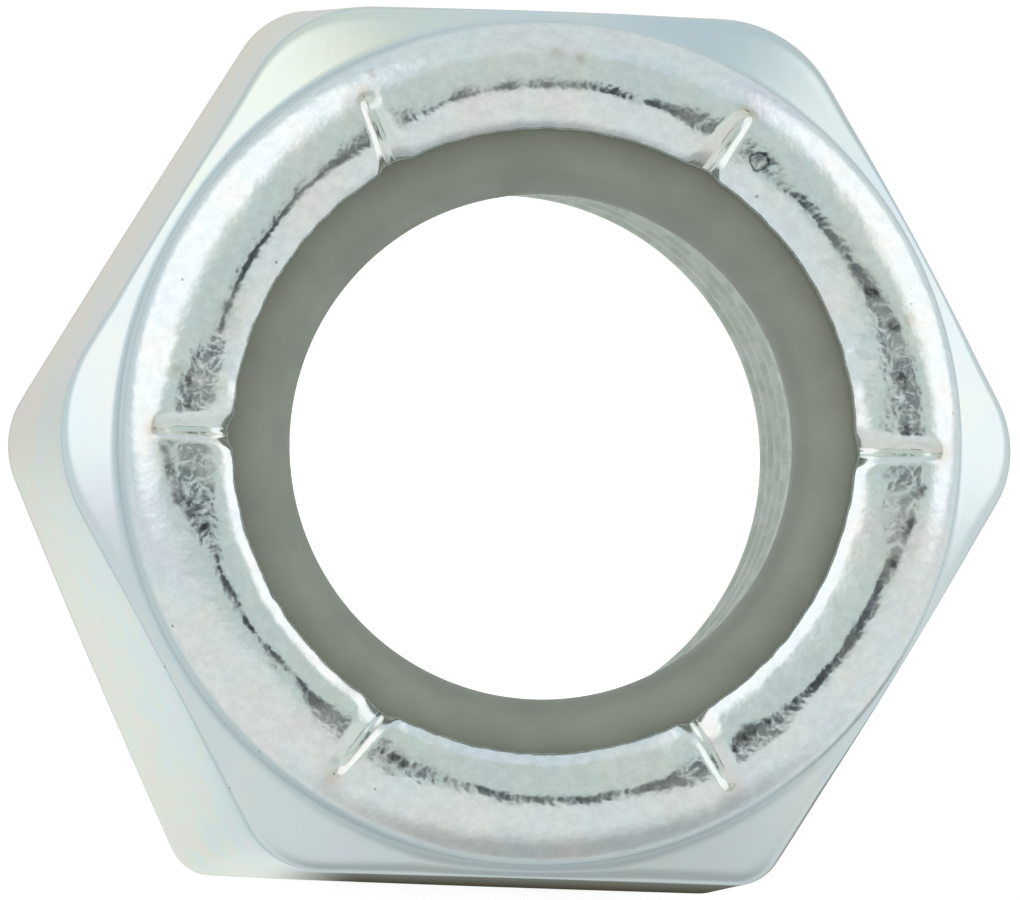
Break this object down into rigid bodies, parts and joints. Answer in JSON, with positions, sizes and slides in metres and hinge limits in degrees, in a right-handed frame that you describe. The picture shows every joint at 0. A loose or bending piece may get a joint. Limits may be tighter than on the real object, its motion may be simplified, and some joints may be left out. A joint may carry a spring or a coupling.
{
  "type": "nylon insert lock nut",
  "caption": "Hexagon lock nut with a rolled, notched collar that holds a nylon locking ring above the threaded bore.",
  "frame": {"origin": "centre of the flat bearing face, on the thread axis", "axes": "+Z along the thread axis from the bearing face towards the nylon insert; +X towards one hexagon corner; +Y across a pair of flats"},
  "size_m": [0.0178, 0.0158, 0.0112],
  "materials": {
    "zinc_plated_steel": "bright zinc plating with a faint pale iridescence over cold formed steel",
    "nylon": "satin grey-green nylon"
  },
  "bodies": {
    "root": {"steel_body": "zinc_plated_steel", "nylon_insert": "nylon"}
  },
  "joints": []
}
